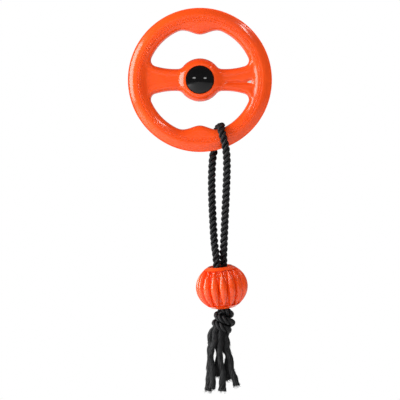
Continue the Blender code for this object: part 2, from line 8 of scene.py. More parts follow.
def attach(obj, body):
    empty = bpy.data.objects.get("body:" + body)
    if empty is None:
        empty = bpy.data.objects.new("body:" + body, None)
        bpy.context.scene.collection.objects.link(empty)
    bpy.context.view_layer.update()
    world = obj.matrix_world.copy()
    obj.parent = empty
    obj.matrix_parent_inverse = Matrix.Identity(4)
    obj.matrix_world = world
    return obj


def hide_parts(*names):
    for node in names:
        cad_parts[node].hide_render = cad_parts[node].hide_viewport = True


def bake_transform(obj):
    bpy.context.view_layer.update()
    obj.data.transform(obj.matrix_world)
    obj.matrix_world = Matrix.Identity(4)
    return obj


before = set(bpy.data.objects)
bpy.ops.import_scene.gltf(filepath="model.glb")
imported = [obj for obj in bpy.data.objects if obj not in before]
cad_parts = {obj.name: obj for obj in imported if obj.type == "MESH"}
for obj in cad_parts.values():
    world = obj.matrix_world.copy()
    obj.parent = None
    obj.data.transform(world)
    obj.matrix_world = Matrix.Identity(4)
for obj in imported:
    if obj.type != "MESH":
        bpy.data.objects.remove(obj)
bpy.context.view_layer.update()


# Camera
# A long lens, level with the middle of the toy and square to its front, whose frame takes in half a metre.

PICTURE_SIZE = 0.500
PICTURE_MIDDLE = Vector((0.0001, 0.0, -0.2068))
LENS = 400.0
SENSOR = 36.0
CAMERA_DISTANCE = PICTURE_SIZE * LENS / SENSOR

bpy.ops.object.camera_add(location=PICTURE_MIDDLE - Vector((0, CAMERA_DISTANCE, 0)),
                          rotation=(math.radians(90), 0, 0))
camera = bpy.context.object
camera.data.lens = LENS
camera.data.sensor_width = SENSOR
camera.data.clip_end = 60.0
bpy.context.scene.camera = camera


# Floor, white surroundings and lamps
# A pale floor well below the hanging toy and a white room round it. A tall soft lamp stands on the left, a
# long thin one up on the right and a small pair in front, for the dome alone. Three wide panels fill in.

FLOOR_HEIGHT = -0.66
FLOOR_RADIUS = 2.6
FLOOR_SIDES = 96
FLOOR_TONE = 0.92
FLOOR_ROUGHNESS = 0.9
FADES_FROM = 0.5
FADES_TO = FLOOR_RADIUS * 0.9
ROOM_LIGHT = 0.14
ROOM_SEEN = 1.0
AIM = Vector((0.0, 0.0, -0.15))
PANEL_SIZE = 2.0


def select_only(*items):
    """Deselects everything, then selects these objects and makes the first one active."""
    bpy.ops.object.select_all(action='DESELECT')
    for item in items:
        item.select_set(True)
    bpy.context.view_layer.objects.active = items[0]


def add_node(tree, kind, inputs=(), **settings):
    """Adds a shader node; each input is given as its name or number and its value or the output it takes."""
    item = tree.nodes.new('ShaderNode' + kind)
    for name, value in settings.items():
        setattr(item, name, value)
    for socket, value in inputs:
        if isinstance(value, bpy.types.NodeSocket):
            tree.links.new(value, item.inputs[socket])
        else:
            item.inputs[socket].default_value = value
    return item


def multiplied(tree, first, second, use_clamp=False):
    return add_node(tree, 'Math', ((0, first), (1, second)), operation='MULTIPLY',
                    use_clamp=use_clamp).outputs['Value']


def ranged(tree, value, *limits):
    """A value brought from one range to another: lowest and highest before, lowest and highest after."""
    titles = ('From Min', 'From Max', 'To Min', 'To Max')
    return add_node(tree, 'MapRange', (('Value', value), *zip(titles, limits))).outputs['Result']


def soft_lamp(name, place, width, height, watts, roll=0.0):
    """Rectangular lamp turned towards the toy, rolled about its own axis and hidden from the camera."""
    bpy.ops.object.light_add(type='AREA', location=place)
    lamp = bpy.context.object
    lamp.name = name
    lamp.data.shape = 'RECTANGLE'
    lamp.data.size = width
    lamp.data.size_y = height
    lamp.data.energy = watts
    facing = (AIM - Vector(place)).to_track_quat('-Z', 'Y')
    lamp.rotation_euler = (facing @ Quaternion((0, 0, 1), math.radians(roll))).to_euler()
    lamp.visible_camera = False
    return lamp


bpy.ops.object.select_all(action='DESELECT')
bpy.ops.mesh.primitive_circle_add(vertices=FLOOR_SIDES, radius=FLOOR_RADIUS, fill_type='NGON',
                                  location=(0, 0, FLOOR_HEIGHT))
floor = bpy.context.object
floor.name = 'floor'

# The floor fades into the white room towards its edge, where the camera sees it
paper = bpy.data.materials.new('white_floor')
paper.use_nodes = True
tree = paper.node_tree
shader = tree.nodes['Principled BSDF']
shader.inputs['Base Color'].default_value = (FLOOR_TONE, FLOOR_TONE, FLOOR_TONE, 1)
shader.inputs['Roughness'].default_value = FLOOR_ROUGHNESS
place = add_node(tree, 'TexCoord')
reach = add_node(tree, 'VectorMath', ((0, place.outputs['Object']),), operation='LENGTH')
fade = ranged(tree, reach.outputs['Value'], FADES_FROM, FADES_TO)
seen = add_node(tree, 'LightPath').outputs['Is Camera Ray']
glow = add_node(tree, 'Emission').outputs['Emission']
share = multiplied(tree, fade, seen)
mix = add_node(tree, 'MixShader', ((0, share), (1, shader.outputs['BSDF']), (2, glow)))
tree.links.new(mix.outputs['Shader'], tree.nodes['Material Output'].inputs['Surface'])
floor.data.materials.append(paper)

# The room is white to the camera and gives the toy only a weak even light
room = bpy.data.worlds.new('white_room')
bpy.context.scene.world = room
room.use_nodes = True
tree = room.node_tree
seen = add_node(tree, 'LightPath').outputs['Is Camera Ray']
strength = ranged(tree, seen, 0.0, 1.0, ROOM_LIGHT, ROOM_SEEN)
tree.links.new(strength, tree.nodes['Background'].inputs['Strength'])
tree.nodes['Background'].inputs['Color'].default_value = (1, 1, 1, 1)

side_lamps = [
    soft_lamp('left_softbox', (-1.44, -0.24, 0.15), width=1.05, height=1.3, watts=41),
    soft_lamp('upper_right_lamp', (0.94, -0.85, 1.05), width=0.62, height=0.08, watts=5.0, roll=45),
]
front_lamps = [
    soft_lamp('front_left_lamp', (-0.85, -1.2, 0.24), width=0.42, height=0.2, watts=3.5),
    soft_lamp('front_right_lamp', (0.80, -1.3, 0.22), width=0.42, height=0.2, watts=3.5),
]
for name, place, watts in (('back_panel', (0.9, 2.3, 0.9), 34), ('right_panel', (2.5, 0.4, 0.5), 10),
                           ('front_panel', (-0.3, -2.6, 0.9), 36)):
    soft_lamp(name, place, PANEL_SIZE, PANEL_SIZE, watts).visible_glossy = False

bpy.context.scene.view_settings.view_transform = 'Standard'


# Rim, spokes and hub of the ring
# Two halves of thick glossy rubber, moulded in one piece each, that meet in the middle plane round a foam
# core. A finger grip swells from the rim at top and bottom, and two stitched grooves run round each face.

RING_CENTRE = Vector((0.0, 0.0, -0.0568))
HALF_GAP = 0.00015
RIM_RADIUS = 0.0900
RIM_HALF_WIDTH = 0.01175
RIM_HALF_DEPTH = 0.0120
CREST = RIM_RADIUS - RIM_HALF_WIDTH
RIM_INSIDE = RIM_RADIUS - 2 * RIM_HALF_WIDTH
GRIP_RISE = 0.0097
GRIP_HALF_ANGLE = math.radians(24.5)
SPOKE_WAIST = 0.0274
SPOKE_WAIST_X = 0.0310
SPOKE_EDGE_RADIUS = 0.0866
SPOKE_HALF_DEPTH = 0.0083
SPOKE_ROUNDING = 0.0070
SPOKE_DISH = 0.0009
DISH_FROM = 0.6 * SPOKE_ROUNDING
SCOOP_DEPTH = 0.0023
SCOOP_FROM = 0.0290
SCOOP_TO = 0.0672
SCOOP_UPPER = 0.0002
SCOOP_LOWER = -0.0068
SCOOP_RISE = 0.006
SCOOP_FALL = 0.003
SCOOP_FLARE = 0.0042
SCOOP_FLARE_FROM = 0.055
SCOOP_FLARE_LENGTH = 0.010
SCOOP_END_DEPTH = 0.0008
CORNER_RADIUS = 0.0075
HUB_RADIUS = 0.0270
HUB_FILLET = 0.0090
HUB_SPREAD = 0.0288
HUB_SHOULDER = 0.0105
FRONT_HUB = 0.0130
REAR_HUB = 0.0098
MOULD_FILLET = 0.0030
LAND = 0.0006
LIP_ROUNDING = 0.0005
WALL = 0.0030
DOME_OPENING = 0.0177
PLUG_OPENING = 0.0143
GROOVES = (0.0743, 0.0772)
GROOVE_HALF_WIDTH = 0.0006
GROOVE_DEPTH = 0.0005
BAND_INSIDE = 0.0735
ACROSS = 30
ROWS_CROWD_OUTWARDS = 1.7
GROOVE_ROWS = 3
CREST_ROWS = 16
RIM_COLUMNS = 34
CORNER_COLUMNS = 10
SPOKE_COLUMNS = 22
FILLET_COLUMNS = 10
HUB_COLUMNS = 14
DOUBLES_WITHIN = 0.000002
HALVES_MEET_WITHIN = 0.00001


def unit(angle):
    return Vector((math.cos(angle), math.sin(angle)))


def between(low, high, share):
    return low + (high - low) * share


def heading(vector):
    return math.atan2(vector.y, vector.x)


def crossing(first, first_radius, second, second_radius):
    """Where two circles cross, on the right of the line from the first centre to the second."""
    across = second - first
    along = (across.length_squared + first_radius ** 2 - second_radius ** 2) / (2 * across.length)
    aside = math.sqrt(first_radius ** 2 - along ** 2)
    way = across.normalized()
    return first + way * along - Vector((-way.y, way.x)) * aside


def rim_inside(angle):
    """Radius of the rim's inner outline, which the finger grips draw in at the top and bottom."""
    from_vertical = abs(math.pi / 2 - abs(angle))
    if from_vertical >= GRIP_HALF_ANGLE:
        return RIM_INSIDE
    return RIM_INSIDE - GRIP_RISE * math.cos(math.pi / 2 * from_vertical / GRIP_HALF_ANGLE) ** 2


def window_columns(opening):
    """Points of a window's outline in one quarter, each with the point that its mesh column runs to."""
    hub = Vector((0.0, 0.0))
    edge = Vector((SPOKE_WAIST_X, SPOKE_WAIST / 2 + SPOKE_EDGE_RADIUS))
    corner = crossing(hub, RIM_INSIDE - CORNER_RADIUS, edge, SPOKE_EDGE_RADIUS - CORNER_RADIUS)
    fillet = crossing(hub, HUB_RADIUS + HUB_FILLET, edge, SPOKE_EDGE_RADIUS - HUB_FILLET)
    corner_turn, edge_start = heading(corner), heading(corner - edge)
    edge_end, fillet_end, hub_start = heading(fillet - edge), heading(-fillet), heading(fillet)
    spoke_end = (corner + unit(edge_start) * CORNER_RADIUS).x
    columns = []
    for step in range(RIM_COLUMNS):
        angle = between(math.pi / 2, corner_turn, step / RIM_COLUMNS)
        columns.append((unit(angle) * rim_inside(angle), unit(angle) * BAND_INSIDE))
    for step in range(2 * CORNER_COLUMNS):
        share = step / (2 * CORNER_COLUMNS)
        if share <= 0.5:
            facing = unit(between(corner_turn, 0.0, 2 * share)) * BAND_INSIDE
        else:
            facing = Vector((between(BAND_INSIDE, spoke_end, 2 * share - 1), 0.0))
        columns.append((corner + unit(between(corner_turn, edge_start, share)) * CORNER_RADIUS, facing))
    for step in range(SPOKE_COLUMNS):
        point = edge + unit(between(edge_start, edge_end, step / SPOKE_COLUMNS)) * SPOKE_EDGE_RADIUS
        columns.append((point, Vector((point.x, 0.0))))
    spoke_start = (edge + unit(edge_end) * SPOKE_EDGE_RADIUS).x
    for step in range(2 * FILLET_COLUMNS):
        share = step / (2 * FILLET_COLUMNS)
        if share <= 0.5:
            facing = Vector((between(spoke_start, opening, 2 * share), 0.0))
        else:
            facing = unit(between(0.0, hub_start, 2 * share - 1)) * opening
        columns.append((fillet + unit(between(edge_end, fillet_end, share)) * HUB_FILLET, facing))
    for step in range(HUB_COLUMNS + 1):
        way = unit(between(hub_start, math.pi / 2, step / HUB_COLUMNS))
        columns.append((way * HUB_RADIUS, way * opening))
    return columns


def quarter_round(share):
    return math.sqrt(max(0.0, 1 - (1 - min(max(share, 0.0), 1.0)) ** 2))


def smooth_step(share):
    share = min(max(share, 0.0), 1.0)
    return share * share * (3 - 2 * share)


def filleted(first, second, blend):
    """The larger of two heights, with a fillet where they meet."""
    share = max(blend - abs(first - second), 0.0) / blend
    return max(first, second) + share * share * blend / 4


def groove(radius):
    nearest = min(abs(radius - middle) for middle in GROOVES)
    return GROOVE_DEPTH * math.cos(math.pi / 2 * min(nearest / GROOVE_HALF_WIDTH, 1.0)) ** 2


def face_height(point, from_edge, opening, hub_height):
    """How far the moulding's face stands from the middle plane."""
    radius = point.length
    width = CREST - rim_inside(heading(point)) if radius < CREST else RIM_HALF_WIDTH
    rim = RIM_HALF_DEPTH * quarter_round(1 - abs(radius - CREST) / width) - groove(radius)
    mound = smooth_step((HUB_SPREAD - radius) / HUB_SHOULDER)
    dish = SPOKE_DISH * smooth_step((from_edge - DISH_FROM) / SPOKE_ROUNDING) * (1 - mound)
    middle = between(SPOKE_HALF_DEPTH, hub_height, mound)
    spoke = middle * quarter_round(from_edge / SPOKE_ROUNDING) - dish
    lip = LIP_ROUNDING * (1 - quarter_round((radius - opening) / LIP_ROUNDING))
    return max(filleted(rim, spoke, MOULD_FILLET) - lip, LAND)


def scoop(point):
    """Depth of the shallow channel along the right-hand spoke's front, which flares out at the rim."""
    flare = SCOOP_FLARE * smooth_step((point.x - SCOOP_FLARE_FROM) / SCOOP_FLARE_LENGTH)
    upper, lower = SCOOP_UPPER + flare, SCOOP_LOWER - flare / 2
    across = (point.y - (upper + lower) / 2) / ((upper - lower) / 2)
    along = smooth_step((point.x - SCOOP_FROM) / SCOOP_RISE) * smooth_step((SCOOP_TO - point.x) / SCOOP_FALL)
    depth = SCOOP_DEPTH + SCOOP_END_DEPTH * flare / SCOOP_FLARE
    return depth * along * math.cos(math.pi / 2 * min(abs(across), 1.0)) ** 2


def laid_grid(name, columns):
    """Grid primitive whose vertices are laid on columns of points, all columns of one length."""
    bpy.ops.object.select_all(action='DESELECT')
    bpy.ops.mesh.primitive_grid_add(x_subdivisions=len(columns[0]) - 1, y_subdivisions=len(columns) - 1)
    grid = bpy.context.object
    grid.name = name
    grid.data.vertices.foreach_set('co', np.array(columns, dtype=np.float32).ravel())
    grid.data.update()
    return grid


def clean_normals(item, outwards=None):
    """Merges doubles and turns the faces outwards; an open sheet is then faced along a direction."""
    select_only(item)
    bpy.ops.object.mode_set(mode='EDIT')
    bpy.ops.mesh.select_all(action='SELECT')
    bpy.ops.mesh.remove_doubles(threshold=DOUBLES_WITHIN)
    bpy.ops.mesh.normals_make_consistent(inside=False)
    bpy.ops.object.mode_set(mode='OBJECT')
    if outwards is not None:
        facing = sum((polygon.normal * polygon.area for polygon in item.data.polygons), Vector())
        if facing.dot(outwards) < 0:
            item.data.flip_normals()


def apply_modifiers(item):
    select_only(item)
    for modifier in list(item.modifiers):
        bpy.ops.object.modifier_apply(modifier=modifier.name)


def shade_smooth(item, degrees):
    """Smooth shading, apart from edges that are sharper than this."""
    select_only(item)
    bpy.ops.object.shade_smooth_by_angle(angle=math.radians(degrees))


def ring_half(name, side, opening, hub_height):
    """One half of the ring: a quarter of its face laid as two grids, mirrored twice and given its wall."""
    def lay(point, height):
        return (point.x, side * (height + HALF_GAP), point.y)

    columns = window_columns(opening)
    shares = [(row / ACROSS) ** ROWS_CROWD_OUTWARDS for row in range(1, ACROSS + 1)]
    windows = []
    for outline, facing in columns:
        across = facing - outline
        column = [lay(outline, 0.0), lay(outline, LAND)]
        for share in shares:
            point = outline + across * share
            height = face_height(point, across.length * share, opening, hub_height)
            column.append(lay(point, height))
        windows.append(column)
    radii = [BAND_INSIDE]
    for middle in GROOVES:
        radii += [middle + GROOVE_HALF_WIDTH * row / GROOVE_ROWS
                  for row in range(-GROOVE_ROWS, GROOVE_ROWS + 1)]
    radii += [CREST + RIM_HALF_WIDTH * math.sin(math.pi / 2 * row / CREST_ROWS)
              for row in range(1, CREST_ROWS)]
    band = []
    for outline, facing in columns[:RIM_COLUMNS + CORNER_COLUMNS + 1]:
        way = facing.normalized()
        column = [lay(way * radius, face_height(way * radius, facing.length, opening, hub_height))
                  for radius in radii]
        column += [lay(way * RIM_RADIUS, LAND), lay(way * RIM_RADIUS, 0.0)]
        band.append(column)
    half = laid_grid(name, windows)
    rim = laid_grid(name + '_rim', band)
    select_only(half, rim)
    bpy.ops.object.join()
    mirror = half.modifiers.new('mirror', 'MIRROR')
    mirror.use_axis = (True, False, True)
    mirror.merge_threshold = HALVES_MEET_WITHIN
    apply_modifiers(half)
    clean_normals(half, Vector((0, side, 0)))
    if side < 0:
        for vertex in half.data.vertices:
            vertex.co.y += scoop(Vector((vertex.co.x, vertex.co.z)))
    wall = half.modifiers.new('wall', 'SOLIDIFY')
    wall.thickness = WALL
    wall.offset = -1
    apply_modifiers(half)
    half.data.transform(Matrix.Translation(RING_CENTRE))
    shade_smooth(half, 40)
    return half


front_skin = ring_half('ring_front', -1, DOME_OPENING, FRONT_HUB)
rear_skin = ring_half('ring_rear', 1, PLUG_OPENING, REAR_HUB)

# Moulded stitches in the two grooves, on both faces
STITCH_LENGTH = 0.0023
STITCH_WIDTH = 0.00085
STITCH_HEIGHT = 0.0006
STITCH_BEVEL = 0.42 * STITCH_HEIGHT
STITCH_PITCH = 0.0033
SLOPE_REACH = 0.001


def ring_stitches(name, side):
    """One rounded stitch, copied along both grooves of a face, laid to the face's slope and joined."""
    bpy.ops.object.select_all(action='DESELECT')
    bpy.ops.mesh.primitive_cube_add(size=1)
    stitch = bpy.context.object
    bpy.ops.object.mode_set(mode='EDIT')
    bpy.ops.mesh.select_all(action='SELECT')
    bpy.ops.transform.resize(value=(STITCH_LENGTH, STITCH_WIDTH, STITCH_HEIGHT))
    bpy.ops.mesh.bevel(offset=STITCH_BEVEL, segments=1)
    bpy.ops.object.mode_set(mode='OBJECT')
    bpy.ops.object.shade_smooth()
    stitches = []
    for radius in GROOVES:
        count = round(2 * math.pi * radius / STITCH_PITCH)
        for step in range(count):
            way = unit(2 * math.pi * (step + 0.5) / count)
            inner, outer = [face_height(way * (radius + shift), CREST - radius, DOME_OPENING, FRONT_HUB)
                            for shift in (-SLOPE_REACH, SLOPE_REACH)]
            span = way * (2 * SLOPE_REACH)
            across = Vector((span.x, side * (outer - inner), span.y)).normalized()
            along = Vector((-way.y, 0.0, way.x))
            up = along.cross(across)
            if up.y * side < 0:
                up = -up
            turn = Matrix((along, across, up)).transposed().to_4x4()
            place = RING_CENTRE + Vector((way.x * radius, side * (inner + outer) / 2, way.y * radius))
            copy = stitch.copy()
            copy.data = stitch.data.copy()
            copy.data.transform(Matrix.Translation(place) @ turn)
            bpy.context.collection.objects.link(copy)
            stitches.append(copy)
    bpy.data.objects.remove(stitch)
    select_only(*stitches)
    bpy.ops.object.join()
    stitches[0].name = name
    clean_normals(stitches[0])
    return stitches[0]


front_stitches = ring_stitches('stitches_front', -1)
rear_stitches = ring_stitches('stitches_rear', 1)

# How the moulded faces vary: scales of the noises, and the values between which a mask rises
CLOUD_RISES = (0.38, 0.66)
HAZE_SCALE = 45.0
HAZE_RISES = (0.36, 0.68)
RUB_FROM = 0.56
RUB_FULL = 0.62
RUB_STRENGTH = 0.7
RUB_BREAKS = 220.0


def new_effect(name, inputs, outputs):
    """Empty node group with named inputs and outputs, and its inside sockets."""
    effect = bpy.data.node_groups.new(name, 'ShaderNodeTree')
    for title, kind in inputs:
        effect.interface.new_socket(name=title, in_out='INPUT', socket_type='NodeSocket' + kind)
    for title, kind in outputs:
        effect.interface.new_socket(name=title, in_out='OUTPUT', socket_type='NodeSocket' + kind)
    return effect, effect.nodes.new('NodeGroupInput').outputs, effect.nodes.new('NodeGroupOutput').inputs


def put_effect(tree, effect, inputs):
    item = add_node(tree, 'Group', node_tree=effect)
    for socket, value in inputs:
        item.inputs[socket].default_value = value
    return item


def noise(tree, place, scale, detail, roughness=0.5):
    return add_node(tree, 'TexNoise', (('Vector', place), ('Scale', scale), ('Detail', detail),
                                       ('Roughness', roughness))).outputs['Fac']


def mixed(tree, share, first, second):
    return add_node(tree, 'Mix', (('Factor', share), ('A', first), ('B', second)),
                    data_type='RGBA').outputs['Result']


def cloud_tone():
    """Slow change between two tones of one colour, as in any moulded or dyed material."""
    effect, given, result = new_effect('cloud_tone',
                                       (('Tone', 'Color'), ('Deep Tone', 'Color'), ('Scale', 'Float')),
                                       (('Colour', 'Color'),))
    place = add_node(effect, 'TexCoord').outputs['Object']
    cloud = noise(effect, place, given['Scale'], detail=4.0, roughness=0.6)
    tone = mixed(effect, ranged(effect, cloud, *CLOUD_RISES), given['Tone'], given['Deep Tone'])
    effect.links.new(tone, result['Colour'])
    return effect


def fine_grain():
    """Fine pitting of a moulded face as a height, and a roughness that changes over it."""
    effect, given, result = new_effect('fine_grain',
                                       (('Scale', 'Float'), ('Smooth Roughness', 'Float'),
                                        ('Dull Roughness', 'Float')),
                                       (('Height', 'Float'), ('Roughness', 'Float')))
    place = add_node(effect, 'TexCoord').outputs['Object']
    haze = noise(effect, place, HAZE_SCALE, detail=5.0, roughness=0.65)
    dull = ranged(effect, haze, *HAZE_RISES, given['Smooth Roughness'], given['Dull Roughness'])
    effect.links.new(noise(effect, place, given['Scale'], detail=2.0), result['Height'])
    effect.links.new(dull, result['Roughness'])
    return effect


def edge_rub():
    """Mask of the raised edges that hands and teeth rub first."""
    effect, given, result = new_effect('edge_rub', (('Edge', 'Float'), ('Strength', 'Float')),
                                       (('Mask', 'Float'),))
    place = add_node(effect, 'TexCoord').outputs['Object']
    shape = add_node(effect, 'NewGeometry')
    edge = ranged(effect, shape.outputs['Pointiness'], given['Edge'], RUB_FULL)
    worn = multiplied(effect, edge, noise(effect, place, RUB_BREAKS, detail=4.0))
    effect.links.new(multiplied(effect, worn, given['Strength'], use_clamp=True), result['Mask'])
    return effect


cloud_tone_effect = cloud_tone()
fine_grain_effect = fine_grain()
edge_rub_effect = edge_rub()


def clouded(name, tone, deep_tone, cloud_scale):
    """New material with the cloud of its two tones, its node tree and that cloud's colour."""
    material = bpy.data.materials.new(name)
    material.use_nodes = True
    tree = material.node_tree
    cloud = put_effect(tree, cloud_tone_effect, (('Tone', (*tone, 1)), ('Deep Tone', (*deep_tone, 1)),
                                                 ('Scale', cloud_scale)))
    return material, tree, cloud.outputs['Colour']


def connected(tree, colour, roughness, height, depth):
    """Gives a material's shader its colour, roughness and relief."""
    shader = tree.nodes['Principled BSDF']
    bump = add_node(tree, 'Bump', (('Height', height), ('Distance', depth)))
    tree.links.new(colour, shader.inputs['Base Color'])
    tree.links.new(roughness, shader.inputs['Roughness'])
    tree.links.new(bump.outputs['Normal'], shader.inputs['Normal'])
    return shader


def moulded(name, tone, deep_tone, rubbed_tone, cloud_scale, grain_scale, roughness, grain_depth,
            specular=0.5, coat_weight=0.0, coat_roughness=0.03):
    """Moulded rubber, plastic or foam, from the three effects, with its gloss and its clear top coat."""
    material, tree, cloud = clouded(name, tone, deep_tone, cloud_scale)
    grain = put_effect(tree, fine_grain_effect, (('Scale', grain_scale), ('Smooth Roughness', roughness[0]),
                                                 ('Dull Roughness', roughness[1])))
    rub = put_effect(tree, edge_rub_effect, (('Edge', RUB_FROM), ('Strength', RUB_STRENGTH)))
    colour = mixed(tree, rub.outputs['Mask'], cloud, (*rubbed_tone, 1))
    shader = connected(tree, colour, grain.outputs['Roughness'], grain.outputs['Height'], grain_depth)
    shader.inputs['Specular IOR Level'].default_value = specular
    shader.inputs['Coat Weight'].default_value = coat_weight
    shader.inputs['Coat Roughness'].default_value = coat_roughness
    return material


def give_finish(item, material):
    item.data.materials.clear()
    item.data.materials.append(material)


orange = moulded('orange_rubber', (0.90, 0.080, 0.006), (0.84, 0.066, 0.004), (0.93, 0.11, 0.02),
                 cloud_scale=22.0, grain_scale=1100.0, roughness=(0.30, 0.38), grain_depth=0.000015,
                 specular=0.08, coat_weight=0.80, coat_roughness=0.17)
for skin, node in ((front_skin, 'ring_front_skin'), (rear_skin, 'ring_rear_skin')):
    give_finish(skin, orange)
    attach(skin, 'ring')
    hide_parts(node)
for stitches in (front_stitches, rear_stitches):
    give_finish(stitches, orange)
    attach(stitches, 'ring')
give_finish(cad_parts['rear_plug'], orange)


# Horn button
# Glossy black plastic dome, turned from one profile with the flange that holds it behind the front skin and
# the boss that presses the squeaker. Its edge is softly rounded.

DOME_RADIUS = 0.0174
DOME_RISE = 0.0075
DOME_EDGE = 0.0126
DOME_EDGE_ROUNDING = 0.0005
EDGE_DROP = 0.0002
EDGE_STEPS = 5
EDGE_STEEPEST = 40
DOME_ROWS = 24
FLANGE_RADIUS = 0.0186
FLANGE_FRONT = 0.0097
FLANGE_REAR = 0.0082
BOSS_RADIUS = 0.0080
BOSS_END = 0.0058
TURNED_STEPS = 96


def turned(name, profile, side):
    """Closed body turned about the ring's axis from (radius, height towards that side) pairs."""
    columns = []
    for step in range(TURNED_STEPS + 1):
        turn = 2 * math.pi * step / TURNED_STEPS
        columns.append([(radius * math.cos(turn), side * height, radius * math.sin(turn))
                        for radius, height in profile])
    body = laid_grid(name, columns)
    clean_normals(body)
    body.data.transform(Matrix.Translation(RING_CENTRE))
    shade_smooth(body, 40)
    return body


def dome_profile():
    """Half section of the button: the dome, the small arc round its edge, the flange and the boss."""
    bend = (DOME_RADIUS ** 2 + DOME_RISE ** 2) / (2 * DOME_RISE)
    edge_radius = DOME_RADIUS - DOME_EDGE_ROUNDING
    spread = math.asin(edge_radius / bend)
    turns = [spread * row / DOME_ROWS for row in range(DOME_ROWS + 1)]
    dome = [(bend * math.sin(turn), DOME_EDGE + DOME_RISE - bend * (1 - math.cos(turn))) for turn in turns]
    turns = [math.radians(between(EDGE_STEEPEST, 0, step / EDGE_STEPS)) for step in range(EDGE_STEPS + 1)]
    corner = [(edge_radius + DOME_EDGE_ROUNDING * math.cos(turn),
               DOME_EDGE - EDGE_DROP + DOME_EDGE_ROUNDING * math.sin(turn)) for turn in turns]
    foot = [(DOME_RADIUS, FLANGE_FRONT), (FLANGE_RADIUS, FLANGE_FRONT), (FLANGE_RADIUS, FLANGE_REAR),
            (BOSS_RADIUS, FLANGE_REAR), (BOSS_RADIUS, BOSS_END), (0.0, BOSS_END)]
    return dome + corner + foot


black = moulded('black_dome', (0.0032, 0.0032, 0.0034), (0.0045, 0.0045, 0.0048), (0.02, 0.02, 0.02),
                cloud_scale=60.0, grain_scale=1400.0, roughness=(0.07, 0.12), grain_depth=0.000004,
                specular=0.3)
dome = turned('horn_dome', dome_profile(), -1)
give_finish(dome, black)
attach(dome, 'horn')
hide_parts('horn_button')

# The front pair lights the dome alone, and the two side lamps are screened off from it
for name, state, lamps in (('lit_in_front', 'INCLUDE', front_lamps),
                           ('screened_at_sides', 'EXCLUDE', side_lamps)):
    group = bpy.data.collections.new(name)
    group.objects.link(dome)
    group.collection_objects[0].light_linking.link_state = state
    for lamp in lamps:
        lamp.light_linking.receiver_collection = group


# Foam core and squeaker
# The ring floats on a closed-cell foam core. The squeaker behind the dome is a pale plastic bellows with a
# reed, and neither is seen from outside.

foam = moulded('closed_cell_foam', (0.74, 0.72, 0.66), (0.60, 0.57, 0.50), (0.80, 0.79, 0.75),
               cloud_scale=30.0, grain_scale=700.0, roughness=(0.80, 0.95), grain_depth=0.0004)
give_finish(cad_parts['foam_core'], foam)
pale = moulded('squeaker_plastic', (0.78, 0.78, 0.76), (0.70, 0.70, 0.66), (0.85, 0.85, 0.84),
               cloud_scale=40.0, grain_scale=1200.0, roughness=(0.28, 0.40), grain_depth=0.00002)
give_finish(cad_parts['squeaker_body'], pale)
give_finish(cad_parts['squeaker_reed'], pale)


# Rope
# One length of soft three-strand polyester rope, right-hand laid, hung over the rim's lower right. Both legs
# run through the ball into the knot, and the rope flattens where it bends over the rim.

ROPE_DIAMETER = 0.0090
STRAND_RADIUS = 0.00235
LAY_LENGTH = 0.0210
YARNS = 8
POINTS_PER_YARN = 4
YARN_DEPTH = 0.20
STRAND_FULLNESS = 1.10
ROPE_STEP = 0.0007
CURVE_STEPS = 24
RIM_REST = 0.0051
FLATTENED_HEIGHT = 0.80
FLATTENED_WIDTH = 1.20
FLATTENED_LENGTH = 0.021
PRESSED_IN = 0.0004
ON_RIM_WITHIN = 0.03
FIBRE_CLOUDS = 120.0
FIBRE_RISES = (0.48, 0.72)
FIBRE_ROUGHNESS = 0.60
PALE_FIBRE_ROUGHNESS = 0.42
FIBRE_SPECULAR = 0.36

# The rope's route: the front leg from the knot up to the rim, round the rim's section, and down the rear leg
FRONT_LEG = ((0.0327, 0.0060, -0.2845), (0.0325, 0.0058, -0.2770), (0.0311, 0.0040, -0.2583),
             (0.0298, 0.0021, -0.2340), (0.0293, 0.0000, -0.2205), (0.0298, -0.0022, -0.2080),
             (0.0305, -0.0050, -0.1905), (0.0313, -0.0078, -0.1710), (0.0322, -0.0104, -0.1523),
             (0.0330, -0.0130, -0.1330), (0.0336, -0.0150, -0.1140), (0.0334, -0.0164, -0.0960),
             (0.0320, -0.0172, -0.0844))
BIGHT = ((90, 22.0), (114, 22.6), (136, 23.6), (158, 24.3), (180, 23.8), (202, 22.0), (224, 19.8),
         (246, 17.6), (270, 15.3))
REAR_LEG = ((0.0176, 0.0170, -0.0885), (0.0158, 0.0163, -0.1010), (0.0149, 0.0150, -0.1190),
            (0.0149, 0.0130, -0.1370), (0.0154, 0.0104, -0.1550), (0.0162, 0.0074, -0.1730),
            (0.0172, 0.0040, -0.1905), (0.0184, 0.0000, -0.2060), (0.0202, -0.0040, -0.2190),
            (0.0214, -0.0046, -0.2340), (0.0237, -0.0040, -0.2583), (0.0255, -0.0012, -0.2770),
            (0.0258, -0.0006, -0.2845))


def smooth_line(points, step):
    """Even steps along a smooth curve through a route's points."""
    route = np.array(points, dtype=float)
    route = np.vstack((2 * route[0] - route[1], route, 2 * route[-1] - route[-2]))
    shares = np.linspace(0, 1, CURVE_STEPS, endpoint=False)[:, None]
    fine = []
    for before, start, end, after in zip(route, route[1:], route[2:], route[3:]):
        fine.append(0.5 * (2 * start + (end - before) * shares
                           + (2 * before - 5 * start + 4 * end - after) * shares ** 2
                           + (3 * start - before - 3 * end + after) * shares ** 3))
    fine = np.vstack(fine + [route[-2:-1]])
    along = lengths_along(fine)
    places = np.linspace(0, along[-1], max(2, round(along[-1] / step) + 1))
    return np.column_stack([np.interp(places, along, fine[:, axis]) for axis in range(3)])


def lengths_along(line):
    return np.concatenate(([0.0], np.cumsum(np.linalg.norm(np.diff(line, axis=0), axis=1))))


